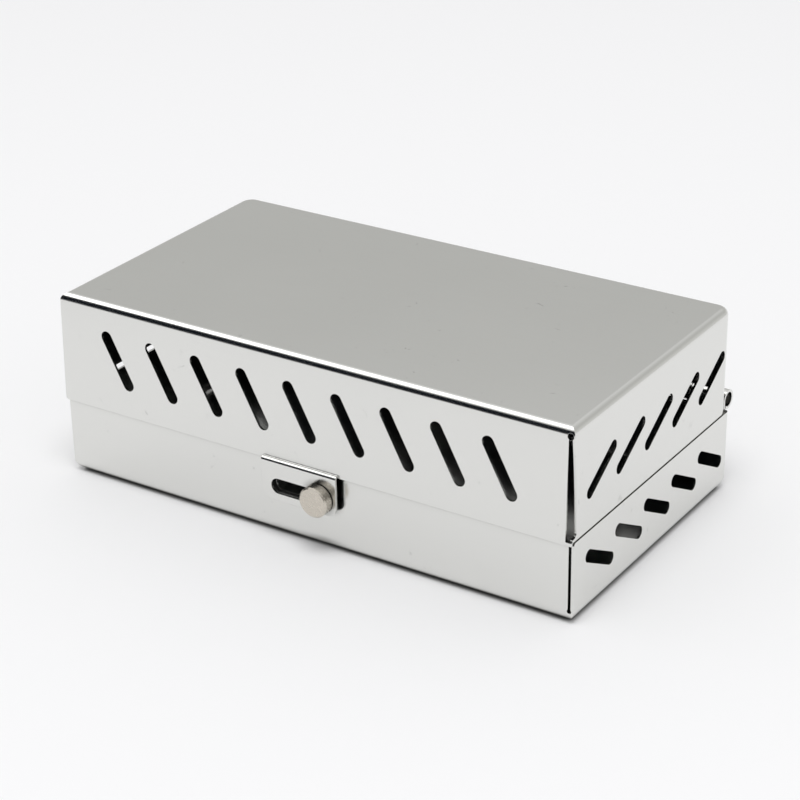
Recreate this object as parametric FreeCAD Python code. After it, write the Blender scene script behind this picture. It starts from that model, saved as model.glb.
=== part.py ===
import FreeCAD, Part
import math
import os

from FreeCAD import Vector

# Instrument box: a folded sheet tray, a folded sheet lid hinged to it, and a sliding knob latch.
# Units are millimetres. +X runs along the length, +Y to the hinge at the rear, +Z up.
# The origin is the middle of the flat underside that the box stands on.

# Overall sizes
box_length = 180.0
box_depth = 97.0
box_height = 61.0
sheet = 0.8

# Tray, folded with plain cut edges. Bends are given by their inside radius.
base_height = 26.1
base_bend_inside = 3.4
base_rear_corner_inside = 0.7
base_seam_gap = 0.9
base_seam_hole_radius = 0.7
base_seam_corner = 1.0
base_lap_gap = 0.3

# Lid
lid_right_gap = 0.2
lid_left_gap = 1.9
lid_front_overlap = 0.5
lid_front_clearance = 0.4
lid_shift = -0.3
lid_bend_inside = 1.4
lid_rear_corner_inside = 3.7
lid_front_corner = 1.0
lid_seam_gap = 1.1
lid_seam_top_drop = 2.4
lid_seam_hole_radius = 1.0
lid_edge_recess = 1.8
lid_edge_recess_halfway = 1.3
lid_edge_round = 1.5
lid_foot_strip = 1.0
lid_rear_foot_corner = 2.0

# Vent slots, all one width
slot_width = 3.9
front_slot_length = 20.0
front_slot_pitch = 16.9
front_slot_tilt = -61.0
front_slot_drop = 17.7
front_slot_margin = 18.0
front_slot_shift = -0.8
lid_side_slot_length = 19.4
lid_side_slot_pitch = 17.1
lid_side_slot_tilt = 33.0
lid_side_slot_drop = 18.8
base_side_slot_length = 18.6
base_side_slot_pitch = 17.4
base_side_slot_tilt = -28.7
base_side_slot_height = 14.7
side_slot_margin = 12.0
side_slot_shift = 1.4

# Hinge, rolled from the rear walls of both sheets round one pin
hinge_pin_diameter = 4.5
hinge_pin_clearance = 0.05
hinge_pin_recess = 2.0
hinge_pin_chamfer = 0.4
hinge_end_clearance = 0.2
knuckle_count = 15
knuckle_gap = 0.3
knuckle_slit = 0.5
window_clearance = 1.0

# Latch tab, stepped out of the lid's front wall, and the slots in it and in the tray
latch_x = -0.95
tab_width = 26.5
tab_standoff = 1.8
tab_drop = 13.3
tab_root = 2.5
tab_bend_inside = 0.3
tab_corner = 2.8
latch_slot_drop = 8.45
latch_travel = 14.6

# Latch knob, its shank and the two washers that hold it
shank_diameter = 4.4
shank_clearance = 0.3
shank_reach = 1.4
shank_tip_chamfer = 0.6
knob_diameter = 9.7
knob_thickness = 3.1
knob_gap = 0.3
knob_chamfer = 0.45
spring_washer_diameter = 7.6
spring_washer_sheet = 0.3
spring_washer_bow = 0.3
spring_washer_clearance = 0.1
retaining_washer_diameter = 8.0
retaining_washer_sheet = 0.6
washer_face_gap = 0.05

# How far cutters run past what they cut
cut_margin = 5.0
cut_skim = 0.2

# Places and lengths worked out from the sizes above
half_length = box_length / 2.0
front_y = -box_depth / 2.0
rear_y = box_depth / 2.0
lid_front_bottom = base_height - lid_front_overlap
lid_right_bottom = base_height + lid_right_gap
lid_left_bottom = base_height + lid_left_gap
lid_front_lean = sheet + lid_front_clearance
lean_rate = lid_front_lean / (box_height - lid_front_bottom)
lid_rear_corner = lid_rear_corner_inside + sheet
slot_radius = slot_width / 2.0

knuckle_bore = hinge_pin_diameter / 2.0 + hinge_pin_clearance
knuckle_radius = knuckle_bore + sheet
knuckle_setback = knuckle_radius - sheet
hinge_rise = math.sqrt((knuckle_radius + knuckle_gap) ** 2 - knuckle_setback ** 2)
pivot_y = rear_y + knuckle_setback
pivot_z = base_height + hinge_rise
hinge_half = half_length - sheet - abs(lid_shift) - hinge_end_clearance
window_top = pivot_z + knuckle_radius + window_clearance

tab_step_top = lid_front_bottom + sheet
tab_root_z = tab_step_top + tab_root
tab_bottom = tab_step_top - tab_drop
tab_inner_y = front_y - tab_standoff
tab_outer_y = tab_inner_y - sheet
tab_ends = (latch_x - tab_width / 2.0, latch_x + tab_width / 2.0)
latch_slot_z = tab_step_top - latch_slot_drop
latch_slot_radius = shank_diameter / 2.0 + shank_clearance
knob_x = latch_x + latch_travel / 2.0
spring_washer_start = tab_inner_y + washer_face_gap
retaining_washer_start = spring_washer_start + spring_washer_bow + spring_washer_sheet + washer_face_gap


def box(x_range, y_range, z_range):
    """Returns a block between two limits along each axis, given in either order."""
    low = Vector(min(x_range), min(y_range), min(z_range))
    high = Vector(max(x_range), max(y_range), max(z_range))
    size = high - low
    return Part.makeBox(size.x, size.y, size.z, low)


def rod(start, end, radius):
    """Returns a round bar between two points."""
    direction = end - start
    return Part.makeCylinder(radius, direction.Length, start, direction)


def ring(start, end, outer_radius, inner_radius):
    """Returns a round tube between two points."""
    return rod(start, end, outer_radius).cut(rod(start, end, inner_radius))


def prism_along_x(points, x_start, x_end):
    """Returns a solid with an outline of (y, z) points, drawn out along X."""
    corners = [Vector(x_start, y, z) for y, z in points]
    face = Part.Face(Part.makePolygon(corners + corners[:1]))
    return face.extrude(Vector(x_end - x_start, 0, 0))


def near(value, target):
    """Tells whether two lengths agree to a hundredth of a millimetre."""
    return abs(value - target) < 0.01


def edges_where(shape, test):
    """Returns the edges whose two ends both pass the test."""
    found = []
    for edge in shape.Edges:
        ends = [vertex.Point for vertex in edge.Vertexes]
        if len(ends) == 2 and all(test(point) for point in ends):
            found.append(edge)
    return found


def upright_edges(shape, y):
    """Returns the vertical edges that stand at a depth."""
    edges = edges_where(shape, lambda point: near(point.y, y))
    return [edge for edge in edges if near(edge.BoundBox.XLength, 0) and not near(edge.BoundBox.ZLength, 0)]


def level_edges(shape, z):
    """Returns the edges that lie level at a height."""
    return [edge for edge in shape.Edges if near(edge.BoundBox.ZMin, z) and near(edge.BoundBox.ZMax, z)]


def corner_cutter(centre, outward, run, radius, margin):
    """Returns what lies outside a rounded corner: a block less a bar round the corner's centre."""
    far = centre + outward * (radius + margin) + run
    block = box((centre.x, far.x), (centre.y, far.y), (centre.z, far.z))
    return block.cut(rod(centre, centre + run, radius))


def slot_cutter(length, radius, tilt):
    """Returns a slot-shaped cutter standing in the XZ plane, tilted in degrees about the origin."""
    reach = length / 2.0 - radius
    half_depth = cut_margin / 2.0
    ends = [Vector(side * reach, 0, 0) for side in (-1, 1)]
    through = Vector(0, half_depth, 0)
    rounds = [rod(end - through, end + through, radius) for end in ends]
    middle = box((-reach, reach), (-half_depth, half_depth), (-radius, radius))
    cutter = middle.fuse(rounds).removeSplitter()
    cutter.rotate(Vector(0, 0, 0), Vector(0, -1, 0), tilt)
    return cutter


def front_slot_cutter(length, radius, tilt, x, y, z):
    """Returns a slot cutter that passes through a front wall."""
    cutter = slot_cutter(length, radius, tilt)
    cutter.translate(Vector(x, y, z))
    return cutter


def side_slot_cutters(length, pitch, tilt, z, sides):
    """Returns a row of slot cutters through the end walls at the given sides, left -1 and right 1."""
    cutters = []
    for side in sides:
        for offset in evenly_spaced(box_depth, side_slot_margin, pitch):
            cutter = slot_cutter(length, slot_radius, tilt)
            cutter.rotate(Vector(0, 0, 0), Vector(0, 0, 1), 90)
            cutter.translate(Vector(side * half_length, offset + side_slot_shift, z))
            cutters.append(cutter)
    return cutters


def latch_slot_cutter(y):
    """Returns the level slot that the latch shank slides along."""
    length = latch_travel + 2.0 * latch_slot_radius
    return front_slot_cutter(length, latch_slot_radius, 0, latch_x, y, latch_slot_z)


def evenly_spaced(span, margin, pitch):
    """Returns positions a pitch apart, centred on zero and inside the margins of a span."""
    count = int((span - 2.0 * margin) / pitch) + 1
    return [(index - (count - 1) / 2.0) * pitch for index in range(count)]


def knuckle_spans(first):
    """Returns the X limits of every second knuckle of the hinge, from the given one."""
    pitch = 2.0 * hinge_half / knuckle_count
    spans = []
    for index in range(first, knuckle_count, 2):
        low = -hinge_half + index * pitch + knuckle_gap / 2.0
        spans.append((low, low + pitch - knuckle_gap))
    return spans


def rolled_knuckles(first, wall_end):
    """Returns one sheet's knuckles: its rear wall carried on to the hinge line and rolled round the pin.

    wall_end is the height where the knuckles leave the wall. The roll starts level with the pin,
    goes round it away from the wall, and stops a slit short of the wall again.
    """
    knuckles = []
    for low, high in knuckle_spans(first):
        start = Vector(low, pivot_y, pivot_z)
        end = Vector(high, pivot_y, pivot_z)
        wall_side = math.copysign(knuckle_radius, wall_end - pivot_z)
        roll = ring(start, end, knuckle_radius, knuckle_bore)
        roll = roll.cut(box((low, high), (rear_y, rear_y + knuckle_slit), (pivot_z, pivot_z + wall_side)))
        wall = box((low, high), (rear_y - sheet, rear_y), (pivot_z, wall_end))
        knuckles += [roll, wall]
    return knuckles


def tray_block(inset, top):
    """Returns the tray's outer form brought in by an inset, with its bends and rear corners rounded."""
    x_reach = half_length - inset
    block = box((-x_reach, x_reach), (front_y + inset, rear_y - inset), (inset, top))
    block = block.makeFillet(base_bend_inside + sheet - inset, level_edges(block, inset))
    return block.makeFillet(base_rear_corner_inside + sheet - inset, upright_edges(block, rear_y - inset))


def base_seam_cutters():
    """Returns cutters for the right front corner, an open seam between rounded wall corners.

    A round relief hole lies at the seam's foot.
    """
    outside_y = front_y - cut_margin
    inside_y = front_y + sheet + cut_skim
    foot_z = base_bend_inside + sheet
    end_wall = half_length - sheet
    front_wall = end_wall - base_seam_gap
    seam = box((end_wall, front_wall), (outside_y, inside_y), (foot_z, base_height + cut_margin))
    middle_x = (end_wall + front_wall) / 2.0
    hole_ends = [Vector(middle_x, y, foot_z) for y in (outside_y, inside_y)]
    hole = rod(*hole_ends, base_seam_hole_radius)
    corner_z = base_height - base_seam_corner
    front_corner = corner_cutter(
        Vector(front_wall - base_seam_corner, outside_y, corner_z), Vector(1, 0, 1),
        Vector(0, inside_y - outside_y, 0), base_seam_corner, cut_skim)
    end_corner = corner_cutter(
        Vector(end_wall, front_y + base_seam_corner, corner_z), Vector(0, -1, 1),
        Vector(sheet + cut_margin, 0, 0), base_seam_corner, cut_skim)
    return [seam, hole, front_corner, end_corner]


def base_lap_cutter():
    """Returns the slit at the left front corner, where the front wall laps over the end wall's edge."""
    x_range = (-half_length - cut_margin, -half_length + sheet)
    y_range = (front_y + sheet, front_y + sheet + base_lap_gap)
    return box(x_range, y_range, (base_bend_inside + sheet, base_height + cut_margin))


def latch_entry_cutter():
    """Returns the channel from the rim down to the latch slot, which lets the shank lift out."""
    x_range = (knob_x - latch_slot_radius, knob_x + latch_slot_radius)
    y_range = (front_y - cut_margin, front_y + cut_margin)
    return box(x_range, y_range, (latch_slot_z, base_height + cut_margin))


def base_tray():
    """The tray: one folded sheet with an open and a lapped front corner, slots and half the hinge."""
    tray = tray_block(0, base_height).cut(tray_block(sheet, base_height + cut_margin))
    cutters = [base_lap_cutter(), latch_slot_cutter(front_y), latch_entry_cutter()]
    cutters += base_seam_cutters()
    cutters += side_slot_cutters(
        base_side_slot_length, base_side_slot_pitch, base_side_slot_tilt, base_side_slot_height, (1,))
    return tray.cut(cutters).fuse(rolled_knuckles(0, base_height)).removeSplitter()


def lid_front_face(z):
    """Returns where the lid's leaning front face stands at a height."""
    return front_y - lean_rate * (box_height - z)


def lid_block(inset, bottom):
    """Returns the lid's outer form brought in by an inset, with its rear and top edges rounded."""
    top = box_height - inset
    rear = rear_y - inset
    outline = [
        (lid_front_face(bottom) + inset, bottom),
        (lid_front_face(top) + inset, top),
        (rear, top),
        (rear, bottom),
    ]
    block = prism_along_x(outline, -half_length + inset, half_length - inset)
    block = block.makeFillet(lid_rear_corner - inset, upright_edges(block, rear))
    return block.makeFillet(lid_bend_inside + sheet - inset, level_edges(block, top))


def lid_front_sheet():
    """Returns the lid's leaning front wall by itself, over the lid's whole length."""
    low = lid_front_face(lid_front_bottom)
    high = lid_front_face(box_height)
    outline = [
        (low, lid_front_bottom),
        (high, box_height),
        (high + sheet, box_height),
        (low + sheet, lid_front_bottom),
    ]
    return prism_along_x(outline, -half_length, half_length)


def lid_edge_cutters():
    """Returns cutters that trim the walls' lower edges, and make room for the tab and the hinge."""
    low = lid_front_bottom - cut_margin
    wide = half_length + cut_margin
    outside_y = front_y - cut_margin
    inside_y = lid_front_face(lid_front_bottom) + sheet
    reach = half_length - sheet
    tab_range = [end - lid_shift for end in tab_ends]
    cutters = [
        box(tab_range, (outside_y, front_y + sheet), (low, tab_root_z)),
        box((-reach, reach), (rear_y - lid_rear_corner, rear_y + cut_margin), (low, window_top)),
    ]
    for end, bottom in ((-wide, lid_left_bottom), (wide, lid_right_bottom)):
        cutters.append(box((0, end), (inside_y, rear_y + cut_margin), (low, bottom)))
        rear_centre = Vector(0, rear_y - lid_rear_foot_corner, bottom + lid_rear_foot_corner)
        cutters.append(corner_cutter(
            rear_centre, Vector(0, 1, -1), Vector(end, 0, 0), lid_rear_foot_corner, cut_margin))
    front_centre = Vector(lid_front_corner - half_length, outside_y, lid_front_bottom + lid_front_corner)
    run = Vector(0, front_y + sheet - outside_y, 0)
    cutters.append(corner_cutter(front_centre, Vector(-1, 0, -1), run, lid_front_corner, cut_margin))
    return cutters


def lid_edge_outline(bottom):
    """Returns the face in front of an end wall's edge, for a wall that ends at a given bottom.

    The edge draws back in an arc, and comes forward again over a narrow strip along the wall's foot.
    """
    seam_top = box_height - lid_seam_top_drop
    start_z = seam_top - lid_seam_hole_radius
    strip_z = bottom + lid_foot_strip
    front_strip_z = lid_front_bottom + lid_foot_strip
    outside_y = front_y - cut_margin
    inside_y = lid_front_face(lid_front_bottom) + sheet
    foot_y = front_y + lid_edge_recess
    rounding = lid_edge_round * (1.0 - math.cos(math.radians(45)))
    top = Vector(0, front_y, seam_top)
    start = Vector(0, front_y, start_z)
    halfway = Vector(0, front_y + lid_edge_recess_halfway, (start_z + strip_z) / 2.0)
    foot = Vector(0, foot_y, strip_z + lid_edge_round)
    foot_middle = Vector(0, foot_y - rounding, strip_z + rounding)
    foot_end = Vector(0, foot_y - lid_edge_round, strip_z)
    corners = [
        foot_end,
        Vector(0, inside_y, strip_z),
        Vector(0, inside_y, front_strip_z),
        Vector(0, outside_y, front_strip_z),
        Vector(0, outside_y, seam_top),
        top,
        start,
    ]
    outline = [Part.Arc(start, halfway, foot).toShape(), Part.Arc(foot, foot_middle, foot_end).toShape()]
    outline += [Part.makeLine(corners[index], corners[index + 1]) for index in range(len(corners) - 1)]
    return Part.Face(Part.Wire(outline))


def lid_seam_cutters():
    """Returns cutters for the front corners: a wedge gap at the right, a lapped edge at the left."""
    seam_top = box_height - lid_seam_top_drop
    outside_y = front_y - cut_margin
    inside_y = front_y + sheet + cut_skim
    end_wall = half_length - sheet
    front_wall = end_wall - lid_seam_gap
    wedge = lid_edge_outline(lid_right_bottom).extrude(Vector(sheet + lid_seam_gap + cut_margin, 0, 0))
    wedge.translate(Vector(front_wall, 0, 0))
    seam = box((end_wall, front_wall), (outside_y, inside_y), (lid_front_bottom + lid_foot_strip, seam_top))
    middle_x = (end_wall + front_wall) / 2.0
    hole_ends = [Vector(middle_x, y, seam_top) for y in (outside_y, inside_y)]
    hole = rod(*hole_ends, lid_seam_hole_radius)
    lapped = lid_edge_outline(lid_left_bottom).extrude(Vector(-sheet - cut_margin, 0, 0))
    lapped.translate(Vector(-end_wall, 0, 0))
    return [wedge, seam, hole, lapped.cut(lid_front_sheet())]


def lid_slot_cutters():
    """Returns cutters for the slanted vent slots in the lid's front and end walls."""
    front_z = box_height - front_slot_drop
    side_z = box_height - lid_side_slot_drop
    cutters = side_slot_cutters(
        lid_side_slot_length, lid_side_slot_pitch, lid_side_slot_tilt, side_z, (-1, 1))
    for offset in evenly_spaced(box_length, front_slot_margin, front_slot_pitch):
        x = offset + front_slot_shift
        cutters.append(front_slot_cutter(
            front_slot_length, slot_radius, front_slot_tilt, x, lid_front_face(front_z), front_z))
    return cutters


def latch_tab():
    """Returns the tab: the front wall stepped forward and down over the tray, with the shank's slot."""
    root_y = lid_front_face(tab_root_z)
    step_y = lid_front_face(tab_step_top)
    under_step = tab_step_top - sheet
    outline = [
        (root_y, tab_root_z),
        (step_y, tab_step_top),
        (tab_outer_y, tab_step_top),
        (tab_outer_y, tab_bottom),
        (tab_inner_y, tab_bottom),
        (tab_inner_y, under_step),
        (step_y + sheet, under_step),
        (root_y + sheet, tab_root_z),
    ]
    tab = prism_along_x(outline, *tab_ends)

    def bend(places, radius):
        edges = []
        for y, z in places:
            edges += edges_where(tab, lambda point: near(point.y, y) and near(point.z, z))
        return tab.makeFillet(radius, edges)

    tab = bend([(tab_outer_y, tab_step_top), (step_y + sheet, under_step)], tab_bend_inside + sheet)
    tab = bend([(tab_inner_y, under_step), (step_y, tab_step_top)], tab_bend_inside)
    feet = [edge for edge in level_edges(tab, tab_bottom) if near(edge.BoundBox.XLength, 0)]
    tab = tab.makeFillet(tab_corner, feet)
    return tab.cut(latch_slot_cutter(tab_outer_y))


def lid_shell():
    """The lid: one folded sheet with a wedge gap, a lapped corner, slots, the tab and half the hinge."""
    shell = lid_block(0, lid_front_bottom).cut(lid_block(sheet, lid_front_bottom - cut_margin))
    shell = shell.cut(lid_edge_cutters() + lid_seam_cutters() + lid_slot_cutters())
    shell.translate(Vector(lid_shift, 0, 0))
    return shell.fuse([latch_tab()] + rolled_knuckles(1, window_top)).removeSplitter()


def hinge_pin():
    """The plain rod through all the knuckles, set back a little from both ends of the hinge."""
    reach = hinge_half - hinge_pin_recess
    pin = rod(Vector(-reach, pivot_y, pivot_z), Vector(reach, pivot_y, pivot_z), hinge_pin_diameter / 2.0)
    end_rims = [edge for edge in pin.Edges if len(edge.Vertexes) == 1]
    return pin.makeChamfer(hinge_pin_chamfer, end_rims)


def latch_knob():
    """The turned knob: a flat round head, and a shank through the tab and the tray's front wall."""
    head_back = tab_outer_y - knob_gap
    head_front = head_back - knob_thickness
    knob_radius = knob_diameter / 2.0
    shank_radius = shank_diameter / 2.0
    tip = front_y + 2.0 * sheet + shank_reach
    profile = [
        (0, head_front),
        (knob_radius - knob_chamfer, head_front),
        (knob_radius, head_front + knob_chamfer),
        (knob_radius, head_back),
        (shank_radius, head_back),
        (shank_radius, tip - shank_tip_chamfer),
        (shank_radius - shank_tip_chamfer, tip),
        (0, tip),
    ]
    corners = [Vector(knob_x + radius, y, latch_slot_z) for radius, y in profile]
    face = Part.Face(Part.makePolygon(corners + corners[:1]))
    return face.revolve(Vector(knob_x, 0, latch_slot_z), Vector(0, 1, 0), 360)


def latch_spring_washer():
    """The bowed washer behind the tab, which makes the knob stay where it is put."""
    radius = spring_washer_diameter / 2.0
    low_z = latch_slot_z - radius

    def bowed_line(offset):
        start = Vector(knob_x - radius, spring_washer_start + offset, low_z)
        crest = Vector(knob_x, spring_washer_start + spring_washer_bow + offset, low_z)
        end = Vector(knob_x + radius, spring_washer_start + offset, low_z)
        return start, end, Part.Arc(start, crest, end).toShape()

    near_start, near_end, near_arc = bowed_line(0)
    far_start, far_end, far_arc = bowed_line(spring_washer_sheet)
    outline = [near_arc, Part.makeLine(near_end, far_end), far_arc, Part.makeLine(far_start, near_start)]
    bowed_strip = Part.Face(Part.Wire(Part.__sortEdges__(outline))).extrude(Vector(0, 0, 2.0 * radius))
    front = Vector(knob_x, spring_washer_start - cut_margin, latch_slot_z)
    back = Vector(knob_x, spring_washer_start + cut_margin, latch_slot_z)
    return bowed_strip.common(ring(front, back, radius, shank_diameter / 2.0 + spring_washer_clearance))


def latch_retaining_washer():
    """The flat washer pressed on the shank, which keeps the knob and the spring washer on the tab."""
    front = Vector(knob_x, retaining_washer_start, latch_slot_z)
    back = front + Vector(0, retaining_washer_sheet, 0)
    return ring(front, back, retaining_washer_diameter / 2.0, shank_diameter / 2.0)


PIECES = {
    "base_tray": base_tray,
    "lid_shell": lid_shell,
    "hinge_pin": hinge_pin,
    "latch_knob": latch_knob,
    "latch_spring_washer": latch_spring_washer,
    "latch_retaining_washer": latch_retaining_washer,
}

os.makedirs("parts", exist_ok=True)
for node, make_piece in PIECES.items():
    solid = make_piece()
    solid.exportStep(os.path.join("parts", node + ".step"))
    print(node, len(solid.Solids), "solid", round(solid.Volume, 2), "mm3", solid.isValid())
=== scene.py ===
import math

import bpy
from bpy.props import FloatProperty, FloatVectorProperty, PointerProperty, StringProperty
from mathutils import Matrix, Vector


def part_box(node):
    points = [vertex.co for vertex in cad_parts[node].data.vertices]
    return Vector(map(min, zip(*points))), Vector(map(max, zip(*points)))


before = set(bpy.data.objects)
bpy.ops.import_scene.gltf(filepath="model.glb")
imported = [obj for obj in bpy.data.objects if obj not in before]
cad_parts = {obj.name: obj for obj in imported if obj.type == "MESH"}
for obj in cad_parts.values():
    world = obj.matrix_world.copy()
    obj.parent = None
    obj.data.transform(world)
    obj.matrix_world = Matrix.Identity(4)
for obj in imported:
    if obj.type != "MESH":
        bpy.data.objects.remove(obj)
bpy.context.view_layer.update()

bl_info = {
    "name": "Folded Instrument Box",
    "version": (1, 0, 0),
    "blender": (4, 5, 0),
    "location": "3D View > Sidebar > Instrument Box",
    "description": "Finishes a folded stainless steel instrument box and sets up its studio",
    "category": "Object",
}

MM = 0.001

# Sheet: a face belongs to an end wall when its normal points this far along the box.
END_WALL_FACING = 0.7
# Sheet: how far the handling marks and the rolling lines change the roughness, down and up.
CLOUD_ROUGHNESS = (-0.02, 0.03)
GRAIN_ROUGHNESS = (-0.03, 0.04)
# Sheet: noise levels where a scratch starts and where it is full, and its brightness.
SCRATCH_START = 0.70
SCRATCH_FULL = 0.76
SCRATCH_BRIGHTNESS = 0.8
# Sheet: how open a place is where the painted crevice shade is full and where it has gone.
CREVICE_SHADE_FULL = 0.3
CREVICE_SHADE_GONE = 0.9
# Colour of the painted shade that darkens the sheet in its crevices.
CREVICE_SHADE_COLOUR = "#8A8A86"

# Knob: size of a worn patch, in metres, and how far wear changes the roughness and the brightness.
WEAR_SIZE = 0.7 * MM
WEAR_ROUGHNESS = (-0.06, 0.1)
WEAR_BRIGHTNESS = 0.9
WEAR_FULL = 0.35
WEAR_GONE = 0.6
# Knob: height of the turned rings as a share of the wear's.
RING_SHARE = 0.35

# Drawn wire and strip: a line's width as a share of its length, and how far the lines change the roughness.
DRAWN_STRETCH = 0.02
DRAWN_ROUGHNESS = (-0.06, 0.06)

# A ray that has been reflected more often than this is inside the box; the floor and the room turn dark for it, a
# painted shade inside the box.
DEEP_REFLECTIONS = 2.5
# Floor: half the width of the soft edge of its dark front, and the dark front's ends along the box, in metres.
DARK_EDGE_SOFTNESS = 0.06
DARK_STARTS_X = 0.15
DARK_FULL_X = 0.0
# Floor: how open a place is, and the shade of the contact shadow there.
CONTACT_SHADES = ((0.2, "#6E6E6E"), (0.6, "#F0F0F0"), (0.85, "#FFFFFF"))

# Room: how the halves of the room blend, by direction, from front to rear and from left to right.
FRONT_TO_REAR = (-0.2, 0.25)
LEFT_TO_RIGHT = (-0.3, 0.25)
# Room: shades by height, from 0 straight down over 0.5 at eye level to 1 straight up.
UNLIT_TOP = 0.80
FRONT_LEFT_SHADES = ((0.86, "#F4F4F4"), (1.0, "#FFFFFF"))
FRONT_RIGHT_SHADES = ((0.5, "#A0A09E"), (0.72, "#A8A8A6"), (0.86, "#F4F4F4"))
REAR_LEFT_SHADES = ((0.5, "#D2D2D0"), (0.62, "#C5C5C3"), (0.70, "#C0C0BE"), (0.76, "#DEDEDE"), (1.0, "#FAFAFA"))
REAR_RIGHT_SHADES = ((0.5, "#E4E4E2"), (0.6, "#D6D6D4"), (0.75, "#C4C4C2"), (1.0, "#F4F4F4"))

# Stage, in metres: side of the floor, and each softbox's sides and place.
FLOOR_SIDE = 16.0
OVERHEAD_SIDES = (0.9, 1.3)
OVERHEAD_PLACE = (-0.7, -0.1, 1.1)
FRONT_SIDES = (1.4, 1.0)
FRONT_PLACE = (0.3, -0.6, 2.6)
# Width of the camera's sensor, in millimetres.
SENSOR_WIDTH = 36.0


def linear(hex_colour):
    """Turns an sRGB hex colour into linear red, green, blue and alpha."""
    channels = [int(hex_colour[index:index + 2], 16) / 255.0 for index in (1, 3, 5)]
    return [c / 12.92 if c <= 0.04045 else ((c + 0.055) / 1.055) ** 2.4 for c in channels] + [1.0]


def add_node(tree, kind, settings=None, values=None, links=None):
    """Adds a shader node, sets its options and input values, and links its inputs to other sockets."""
    node = tree.nodes.new(kind)
    for name, value in (settings or {}).items():
        setattr(node, name, value)
    for name, value in (values or {}).items():
        node.inputs[name].default_value = value
    for name, socket in (links or {}).items():
        tree.links.new(socket, node.inputs[name])
    return node


def shades(stops):
    """Turns pairs of a place and an sRGB colour into stops for a colour ramp."""
    return [(place, linear(colour)) for place, colour in stops]


def dulled(colour, brightness):
    """Returns a linear colour with its brightness lowered."""
    return [channel * brightness for channel in colour[:3]] + [1.0]


def new_material(name):
    """Returns an empty node material and its tree."""
    material = bpy.data.materials.new(name)
    material.use_nodes = True
    material.node_tree.nodes.clear()
    return material, material.node_tree


def colour_ramp(tree, factor, stops):
    """Adds a colour ramp with a stop for each place and linear colour."""
    ramp = add_node(tree, "ShaderNodeValToRGB", links={"Fac": factor})
    elements = ramp.color_ramp.elements
    while len(elements) > 1:
        elements.remove(elements[-1])
    elements[0].position, elements[0].color = stops[0]
    for place, colour in stops[1:]:
        elements.new(place).color = colour
    return ramp.outputs["Color"]


class SheetSteelSettings(bpy.types.PropertyGroup):
    """The rolled sheet that the tray and the lid are folded from.

    Real rolling lines are under 0.05 mm wide, too fine to show, so they are drawn coarser.
    """

    colour: StringProperty(name="Colour", description="sRGB colour of the bare steel", default="#E1E1DE")
    roughness: FloatProperty(
        name="Roughness", description="How far the sheet blurs what it reflects",
        default=0.17, min=0.0, max=1.0, subtype="FACTOR")
    grain_width: FloatProperty(
        name="Grain width", description="Width of a rolling line, in millimetres", default=0.35, min=0.05)
    grain_length: FloatProperty(
        name="Grain length", description="Length of a rolling line, in millimetres", default=14.0, min=1.0)
    cloud_size: FloatProperty(
        name="Cloud size", description="Size of the handling marks, in millimetres", default=45.0, min=1.0)
    edge_round: FloatProperty(
        name="Edge rounding", description="Radius of the deburred cut edges, in millimetres",
        default=0.15, min=0.0)
    # Reach of the painted shade in the crevices, such as the line under the lid's front edge.
    crevice_shade_width: FloatProperty(
        name="Crevice shade width", description="How far the painted shade reaches out of the crevices, in millimetres",
        default=3.0, min=0.1)
    scratch_size: FloatProperty(
        name="Scratch length", description="Length of a handling scratch, in millimetres", default=5.0, min=0.5)


class TurnedSteelSettings(bpy.types.PropertyGroup):
    """The turned knob of the latch.

    Real turning lines are about 0.1 mm apart, too fine to show, so they are drawn coarser.
    """

    colour: StringProperty(name="Colour", description="sRGB colour of the turned steel", default="#D3CCC1")
    roughness: FloatProperty(
        name="Roughness", description="How far the turned face blurs what it reflects",
        default=0.24, min=0.0, max=1.0, subtype="FACTOR")
    line_pitch: FloatProperty(
        name="Turning pitch", description="Distance between turning lines, in millimetres",
        default=0.55, min=0.05)


class DrawnSteelSettings(bpy.types.PropertyGroup):
    """The drawn hinge pin and the stamped washers.

    Real drawing lines are about 0.02 mm wide, too fine to show, so they are drawn coarser.
    """

    colour: StringProperty(name="Colour", description="sRGB colour of the drawn steel", default="#C4C2BE")
    roughness: FloatProperty(
        name="Roughness", description="How far the drawn surface blurs what it reflects",
        default=0.3, min=0.0, max=1.0, subtype="FACTOR")
    line_width: FloatProperty(
        name="Line width", description="Width of a drawing line, in millimetres", default=0.2, min=0.02)


class StudioSettings(bpy.types.PropertyGroup):
    """Camera, floor and lights."""

    camera_place: FloatVectorProperty(
        name="Camera place", description="Camera position, in millimetres",
        default=(351.65, -530.17, 336.19), size=3)
    azimuth: FloatProperty(name="Azimuth", description="Direction of view, in degrees", default=33.43)
    elevation: FloatProperty(name="Elevation", description="Downward tilt, in degrees", default=25.91)
    roll: FloatProperty(name="Roll", description="Turn about the line of sight, in degrees", default=-0.98)
    lens: FloatProperty(
        name="Lens", description="Focal length on a 36 mm sensor, in millimetres", default=103.07)
    floor_colour: StringProperty(name="Floor", description="sRGB colour of the floor", default="#F6F6F7")
    # The dark front's colour is also the painted shade that rays reflected inside the box see.
    dark_colour: StringProperty(
        name="Dark front",
        description="sRGB colour of the unlit room that the steel reflects at the front left and inside the box",
        default="#12161C")
    dark_edge: FloatProperty(
        name="Dark edge", description="How far in front of the box its reflections of the floor turn dark, "
        "in millimetres", default=-250.0)
    contact_width: FloatProperty(
        name="Contact shadow", description="Width of the firm shadow along the box's foot, in millimetres",
        default=1.2, min=0.1)
    ambient: StringProperty(
        name="Ambient", description="sRGB colour of the room's even light", default="#D6D6D6")
    overhead_power: FloatProperty(
        name="Overhead light", description="Power of the overhead softbox, in watts", default=5.0, min=0.0)
    front_power: FloatProperty(
        name="Front light", description="Power of the high light in front, in watts", default=29.0, min=0.0)


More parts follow.
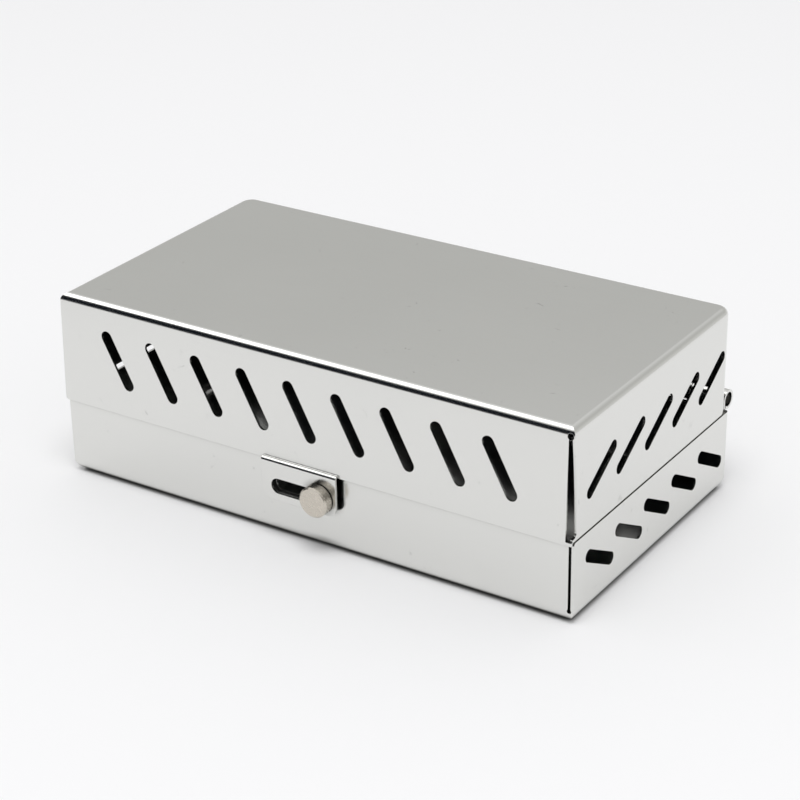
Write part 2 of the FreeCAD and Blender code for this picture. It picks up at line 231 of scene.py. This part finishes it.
def grain_coordinates(tree, settings):
    """Coordinates that run along the rolling lines, turned up on the end walls as the sheet was folded."""
    place = add_node(tree, "ShaderNodeTexCoord")
    parts = add_node(tree, "ShaderNodeSeparateXYZ", links={"Vector": place.outputs["Object"]})
    facing = add_node(tree, "ShaderNodeSeparateXYZ", links={"Vector": place.outputs["Normal"]})
    side = add_node(tree, "ShaderNodeMath", {"operation": "ABSOLUTE"}, links={0: facing.outputs["X"]})
    on_end_wall = add_node(
        tree, "ShaderNodeMath", {"operation": "GREATER_THAN"}, {1: END_WALL_FACING}, {0: side.outputs[0]})
    along = add_node(
        tree, "ShaderNodeMix", {"data_type": "FLOAT"},
        links={0: on_end_wall.outputs[0], 2: parts.outputs["X"], 3: parts.outputs["Z"]})
    across = add_node(
        tree, "ShaderNodeMix", {"data_type": "FLOAT"},
        links={0: on_end_wall.outputs[0], 2: parts.outputs["Z"], 3: parts.outputs["X"]})
    folded = add_node(
        tree, "ShaderNodeCombineXYZ",
        links={"X": along.outputs[0], "Y": parts.outputs["Y"], "Z": across.outputs[0]})
    width = 1.0 / (settings.grain_width * MM)
    length = 1.0 / (settings.grain_length * MM)
    scaled = add_node(
        tree, "ShaderNodeVectorMath", {"operation": "MULTIPLY"}, {1: (length, width, width)},
        {0: folded.outputs[0]})
    return place.outputs["Object"], scaled.outputs[0]


def rolled_stainless(settings):
    """Rolled stainless sheet, 2B finish: a soft grey mirror.

    It has faint rolling lines and handling marks, and painted shade darkens its crevices.
    """
    material, tree = new_material("rolled_stainless_sheet")
    place, grain_place = grain_coordinates(tree, settings)
    grain = add_node(
        tree, "ShaderNodeTexNoise", values={"Scale": 1.0, "Detail": 3.0, "Roughness": 0.6},
        links={"Vector": grain_place})
    clouds = add_node(
        tree, "ShaderNodeTexNoise", values={"Scale": 1.0 / (settings.cloud_size * MM), "Detail": 2.0},
        links={"Vector": place})
    rough_clouds = add_node(
        tree, "ShaderNodeMapRange",
        values={
            "To Min": settings.roughness + CLOUD_ROUGHNESS[0], "To Max": settings.roughness + CLOUD_ROUGHNESS[1]},
        links={"Value": clouds.outputs["Fac"]})
    rough_grain = add_node(
        tree, "ShaderNodeMapRange", values={"To Min": GRAIN_ROUGHNESS[0], "To Max": GRAIN_ROUGHNESS[1]},
        links={"Value": grain.outputs["Fac"]})
    roughness = add_node(
        tree, "ShaderNodeMath", {"operation": "ADD"},
        links={0: rough_clouds.outputs["Result"], 1: rough_grain.outputs["Result"]})
    scratch = add_node(
        tree, "ShaderNodeTexNoise",
        values={"Scale": 1.0 / (settings.scratch_size * MM), "Detail": 3.0, "Distortion": 2.5},
        links={"Vector": place})
    steel = linear(settings.colour)
    marks = colour_ramp(
        tree, scratch.outputs["Fac"],
        [(0.0, steel), (SCRATCH_START, steel), (SCRATCH_FULL, dulled(steel, SCRATCH_BRIGHTNESS))])
    # Painted shade: ambient occlusion darkens the steel's colour in crevices, such as under the lid's front edge.
    crevice = add_node(
        tree, "ShaderNodeAmbientOcclusion", {"samples": 8}, {"Distance": settings.crevice_shade_width * MM})
    crevice_shade = colour_ramp(
        tree, crevice.outputs["AO"], shades([(CREVICE_SHADE_FULL, CREVICE_SHADE_COLOUR), (CREVICE_SHADE_GONE, "#FFFFFF")]))
    surface = add_node(
        tree, "ShaderNodeMix", {"data_type": "RGBA", "blend_type": "MULTIPLY"}, {0: 1.0}, {6: marks, 7: crevice_shade})
    edges = add_node(tree, "ShaderNodeBevel", {"samples": 4}, {"Radius": settings.edge_round * MM})
    bump = add_node(
        tree, "ShaderNodeBump", values={"Strength": 0.015, "Distance": 0.02 * MM},
        links={"Height": grain.outputs["Fac"], "Normal": edges.outputs["Normal"]})
    shader = add_node(
        tree, "ShaderNodeBsdfPrincipled", values={"Metallic": 1.0},
        links={
            "Base Color": surface.outputs[2], "Roughness": roughness.outputs[0], "Normal": bump.outputs["Normal"]})
    add_node(tree, "ShaderNodeOutputMaterial", links={"Surface": shader.outputs[0]})
    return material


def turned_stainless(settings, node):
    """Turned stainless: fine rings round the turning axis and small worn patches break up its reflections."""
    material, tree = new_material("turned_stainless")
    low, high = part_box(node)
    centre = (low + high) / 2.0
    place = add_node(tree, "ShaderNodeTexCoord")
    offset = add_node(
        tree, "ShaderNodeVectorMath", {"operation": "SUBTRACT"}, {1: centre}, {0: place.outputs["Object"]})
    flat = add_node(
        tree, "ShaderNodeVectorMath", {"operation": "MULTIPLY"}, {1: (1.0, 0.0, 1.0)}, {0: offset.outputs[0]})
    radius = add_node(tree, "ShaderNodeVectorMath", {"operation": "LENGTH"}, links={0: flat.outputs[0]})
    turns = add_node(
        tree, "ShaderNodeMath", {"operation": "MULTIPLY"}, {1: math.tau / (settings.line_pitch * MM)},
        {0: radius.outputs["Value"]})
    rings = add_node(tree, "ShaderNodeMath", {"operation": "SINE"}, links={0: turns.outputs[0]})
    wear = add_node(
        tree, "ShaderNodeTexNoise", values={"Scale": 1.0 / WEAR_SIZE, "Detail": 5.0},
        links={"Vector": place.outputs["Object"]})
    height = add_node(
        tree, "ShaderNodeMath", {"operation": "MULTIPLY_ADD"}, {1: RING_SHARE},
        {0: rings.outputs[0], 2: wear.outputs["Fac"]})
    roughness = add_node(
        tree, "ShaderNodeMapRange",
        values={
            "To Min": settings.roughness + WEAR_ROUGHNESS[0], "To Max": settings.roughness + WEAR_ROUGHNESS[1]},
        links={"Value": wear.outputs["Fac"]})
    steel = linear(settings.colour)
    colour = colour_ramp(
        tree, wear.outputs["Fac"], [(WEAR_FULL, dulled(steel, WEAR_BRIGHTNESS)), (WEAR_GONE, steel)])
    bump = add_node(
        tree, "ShaderNodeBump", values={"Strength": 0.06, "Distance": 0.03 * MM},
        links={"Height": height.outputs[0]})
    shader = add_node(
        tree, "ShaderNodeBsdfPrincipled", values={"Metallic": 1.0},
        links={"Base Color": colour, "Roughness": roughness.outputs["Result"], "Normal": bump.outputs["Normal"]})
    add_node(tree, "ShaderNodeOutputMaterial", links={"Surface": shader.outputs[0]})
    return material


def drawn_stainless(settings):
    """Cold drawn stainless wire and strip: a duller grey with fine lines along its length."""
    material, tree = new_material("drawn_stainless")
    place = add_node(tree, "ShaderNodeTexCoord")
    fine = 1.0 / (settings.line_width * MM)
    coarse = fine * DRAWN_STRETCH
    stretched = add_node(
        tree, "ShaderNodeVectorMath", {"operation": "MULTIPLY"}, {1: (coarse, fine, fine)},
        {0: place.outputs["Object"]})
    lines = add_node(
        tree, "ShaderNodeTexNoise", values={"Scale": 1.0}, links={"Vector": stretched.outputs[0]})
    roughness = add_node(
        tree, "ShaderNodeMapRange",
        values={
            "To Min": settings.roughness + DRAWN_ROUGHNESS[0], "To Max": settings.roughness + DRAWN_ROUGHNESS[1]},
        links={"Value": lines.outputs["Fac"]})
    shader = add_node(
        tree, "ShaderNodeBsdfPrincipled", values={"Metallic": 1.0, "Base Color": linear(settings.colour)},
        links={"Roughness": roughness.outputs["Result"]})
    add_node(tree, "ShaderNodeOutputMaterial", links={"Surface": shader.outputs[0]})
    return material


def finish_nodes(names, material):
    """Gives CAD nodes a material through their own material slots."""
    for name in names:
        for material_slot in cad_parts[name].material_slots:
            material_slot.material = material


def deep_reflection(tree, path):
    """Tells rays that have been reflected more than twice, as those inside the box are."""
    return add_node(
        tree, "ShaderNodeMath", {"operation": "GREATER_THAN"}, {1: DEEP_REFLECTIONS},
        {0: path.outputs["Glossy Depth"]})


def floor_material(settings):
    """Matt photo paper, one pale tone, with a firm contact shadow.

    The steel's reflections of it turn dark away from the box, towards the front left; for rays reflected inside
    the box it turns dark as painted shade.
    """
    material, tree = new_material("studio_paper")
    place = add_node(tree, "ShaderNodeTexCoord")
    parts = add_node(tree, "ShaderNodeSeparateXYZ", links={"Vector": place.outputs["Object"]})
    edge = settings.dark_edge * MM
    far = add_node(
        tree, "ShaderNodeMapRange", {"interpolation_type": "SMOOTHSTEP"},
        {"From Min": edge + DARK_EDGE_SOFTNESS, "From Max": edge - DARK_EDGE_SOFTNESS},
        {"Value": parts.outputs["Y"]})
    left = add_node(
        tree, "ShaderNodeMapRange", {"interpolation_type": "SMOOTHSTEP"},
        {"From Min": DARK_STARTS_X, "From Max": DARK_FULL_X}, {"Value": parts.outputs["X"]})
    far_left = add_node(
        tree, "ShaderNodeMath", {"operation": "MULTIPLY"},
        links={0: far.outputs["Result"], 1: left.outputs["Result"]})
    path = add_node(tree, "ShaderNodeLightPath")
    reflected = add_node(
        tree, "ShaderNodeMath", {"operation": "MULTIPLY"},
        links={0: path.outputs["Is Glossy Ray"], 1: far_left.outputs[0]})
    # Dark for reflections towards the front left, and as painted shade for rays reflected inside the box.
    dark = add_node(
        tree, "ShaderNodeMath", {"operation": "MAXIMUM"},
        links={0: reflected.outputs[0], 1: deep_reflection(tree, path).outputs[0]})
    tone = add_node(
        tree, "ShaderNodeMix", {"data_type": "RGBA"},
        {6: linear(settings.floor_colour), 7: linear(settings.dark_colour)}, {0: dark.outputs[0]})
    crevice = add_node(
        tree, "ShaderNodeAmbientOcclusion", {"samples": 8}, {"Distance": settings.contact_width * MM})
    shade = colour_ramp(tree, crevice.outputs["AO"], shades(CONTACT_SHADES))
    colour = add_node(
        tree, "ShaderNodeMix", {"data_type": "RGBA", "blend_type": "MULTIPLY"}, {0: 1.0},
        {6: tone.outputs[2], 7: shade})
    shader = add_node(
        tree, "ShaderNodeBsdfPrincipled", values={"Roughness": 1.0}, links={"Base Color": colour.outputs[2]})
    add_node(tree, "ShaderNodeOutputMaterial", links={"Surface": shader.outputs[0]})
    return material


def studio_world(settings):
    """The room round the box, as the steel reflects it; the floor is lit by an even ambient instead.

    It is pale above and behind, grey at the front right, and unlit at the front left; for rays reflected inside
    the box it turns dark as painted shade.
    """
    world = bpy.data.worlds.new("studio_room")
    world.use_nodes = True
    tree = world.node_tree
    tree.nodes.clear()
    place = add_node(tree, "ShaderNodeTexCoord")
    direction = add_node(tree, "ShaderNodeSeparateXYZ", links={"Vector": place.outputs["Generated"]})
    dark = linear(settings.dark_colour)
    corners = (
        [(0.0, dark), (UNLIT_TOP, dark)] + shades(FRONT_LEFT_SHADES), shades(FRONT_RIGHT_SHADES),
        shades(REAR_LEFT_SHADES), shades(REAR_RIGHT_SHADES))
    height = add_node(
        tree, "ShaderNodeMapRange", values={"From Min": -1.0}, links={"Value": direction.outputs["Z"]})
    towards_rear, towards_right = [
        add_node(
            tree, "ShaderNodeMapRange", {"interpolation_type": "SMOOTHSTEP"},
            {"From Min": start, "From Max": end}, {"Value": direction.outputs[axis]}).outputs["Result"]
        for axis, (start, end) in (("Y", FRONT_TO_REAR), ("X", LEFT_TO_RIGHT))]
    ramps = [colour_ramp(tree, height.outputs["Result"], stops) for stops in corners]
    halves = [
        add_node(
            tree, "ShaderNodeMix", {"data_type": "RGBA"}, links={0: towards_right, 6: left, 7: right}).outputs[2]
        for left, right in (ramps[:2], ramps[2:])]
    room = add_node(
        tree, "ShaderNodeMix", {"data_type": "RGBA"}, links={0: towards_rear, 6: halves[0], 7: halves[1]})
    path = add_node(tree, "ShaderNodeLightPath")
    # Painted shade: rays reflected inside the box see the dark colour instead of the room.
    inside = add_node(
        tree, "ShaderNodeMix", {"data_type": "RGBA"}, {7: dark},
        {0: deep_reflection(tree, path).outputs[0], 6: room.outputs[2]})
    lit = add_node(
        tree, "ShaderNodeMix", {"data_type": "RGBA"}, {6: linear(settings.ambient)},
        {0: path.outputs["Is Glossy Ray"], 7: inside.outputs[2]})
    seen = add_node(
        tree, "ShaderNodeMix", {"data_type": "RGBA"}, {7: linear(settings.floor_colour)},
        {0: path.outputs["Is Camera Ray"], 6: lit.outputs[2]})
    background = add_node(
        tree, "ShaderNodeBackground", values={"Strength": 1.0}, links={"Color": seen.outputs[2]})
    add_node(tree, "ShaderNodeOutputWorld", links={"Surface": background.outputs[0]})
    world.cycles.sampling_method = "NONE"
    return world


class BOX_OT_finish_sheets(bpy.types.Operator):
    """Finishes the folded tray and lid as rolled stainless sheet"""

    bl_idname = "instrument_box.finish_sheets"
    bl_label = "Finish Tray and Lid"
    bl_options = {"REGISTER", "UNDO"}

    def execute(self, context):
        material = rolled_stainless(context.scene.box_sheet_steel)
        finish_nodes(("base_tray", "lid_shell"), material)
        return {"FINISHED"}


class BOX_OT_finish_knob(bpy.types.Operator):
    """Finishes the latch knob as turned stainless"""

    bl_idname = "instrument_box.finish_knob"
    bl_label = "Finish Latch Knob"
    bl_options = {"REGISTER", "UNDO"}

    def execute(self, context):
        finish_nodes(("latch_knob",), turned_stainless(context.scene.box_turned_steel, "latch_knob"))
        return {"FINISHED"}


class BOX_OT_finish_pin_and_washers(bpy.types.Operator):
    """Finishes the hinge pin and the latch washers as drawn stainless"""

    bl_idname = "instrument_box.finish_pin_and_washers"
    bl_label = "Finish Hinge Pin and Washers"
    bl_options = {"REGISTER", "UNDO"}

    def execute(self, context):
        material = drawn_stainless(context.scene.box_drawn_steel)
        finish_nodes(("hinge_pin", "latch_spring_washer", "latch_retaining_washer"), material)
        return {"FINISHED"}


class BOX_OT_build_studio(bpy.types.Operator):
    """Builds the floor, the lights, the room and the camera"""

    bl_idname = "instrument_box.build_studio"
    bl_label = "Build Studio"
    bl_options = {"REGISTER", "UNDO"}

    def execute(self, context):
        settings = context.scene.box_studio
        bpy.ops.mesh.primitive_plane_add(size=FLOOR_SIDE, location=(0.0, 0.0, 0.0))
        floor = context.object
        floor.name = "studio_floor"
        floor.data.materials.append(floor_material(settings))
        overhead = self.add_lamp(
            context, "overhead_softbox", OVERHEAD_SIDES, OVERHEAD_PLACE, settings.overhead_power)
        overhead.visible_diffuse = False
        front = self.add_lamp(context, "front_softbox", FRONT_SIDES, FRONT_PLACE, settings.front_power)
        front.visible_glossy = False
        context.scene.world = studio_world(settings)
        self.place_camera(context, settings)
        context.scene.view_settings.view_transform = "Standard"
        return {"FINISHED"}

    def add_lamp(self, context, name, sides, place, power):
        """Hangs a rectangular softbox that faces the box, and returns it."""
        light = bpy.data.lights.new(name, "AREA")
        light.shape = "RECTANGLE"
        light.size, light.size_y = sides
        light.energy = power
        lamp = bpy.data.objects.new(name, light)
        lamp.location = place
        lamp.rotation_mode = "QUATERNION"
        lamp.rotation_quaternion = lamp.location.to_track_quat("Z", "Y")
        context.scene.collection.objects.link(lamp)
        return lamp

    def place_camera(self, context, settings):
        """Stands the camera where the photograph was taken from."""
        azimuth = math.radians(settings.azimuth)
        elevation = math.radians(settings.elevation)
        forward = Vector((
            -math.sin(azimuth) * math.cos(elevation),
            math.cos(azimuth) * math.cos(elevation),
            -math.sin(elevation)))
        level_right = Vector((math.cos(azimuth), math.sin(azimuth), 0.0))
        right = Matrix.Rotation(math.radians(settings.roll), 3, -forward) @ level_right
        up = right.cross(forward)
        lens = bpy.data.cameras.new("photo_camera")
        lens.sensor_width = SENSOR_WIDTH
        lens.lens = settings.lens
        camera = bpy.data.objects.new("photo_camera", lens)
        rotation = Matrix((right, up, -forward)).transposed()
        camera.matrix_world = Matrix.Translation(Vector(settings.camera_place) * MM) @ rotation.to_4x4()
        context.scene.collection.objects.link(camera)
        context.scene.camera = camera


class BOX_PT_sidebar(bpy.types.Panel):
    """The sidebar panel that lists the steps"""

    bl_idname = "BOX_PT_sidebar"
    bl_label = "Instrument Box"
    bl_space_type = "VIEW_3D"
    bl_region_type = "UI"
    bl_category = "Instrument Box"

    def draw(self, context):
        for operator in OPERATORS:
            self.layout.operator(operator.bl_idname)


OPERATORS = (
    BOX_OT_finish_sheets,
    BOX_OT_finish_knob,
    BOX_OT_finish_pin_and_washers,
    BOX_OT_build_studio,
)
SETTINGS = {
    "box_sheet_steel": SheetSteelSettings,
    "box_turned_steel": TurnedSteelSettings,
    "box_drawn_steel": DrawnSteelSettings,
    "box_studio": StudioSettings,
}
CLASSES = tuple(SETTINGS.values()) + OPERATORS + (BOX_PT_sidebar,)


def register():
    for cls in CLASSES:
        bpy.utils.register_class(cls)
    for name, group in SETTINGS.items():
        setattr(bpy.types.Scene, name, PointerProperty(type=group))


def unregister():
    for name in SETTINGS:
        delattr(bpy.types.Scene, name)
    for cls in reversed(CLASSES):
        bpy.utils.unregister_class(cls)


def main():
    register()
    bpy.ops.instrument_box.finish_sheets()
    bpy.ops.instrument_box.finish_knob()
    bpy.ops.instrument_box.finish_pin_and_washers()
    bpy.ops.instrument_box.build_studio()


if __name__ == "__main__":
    main()
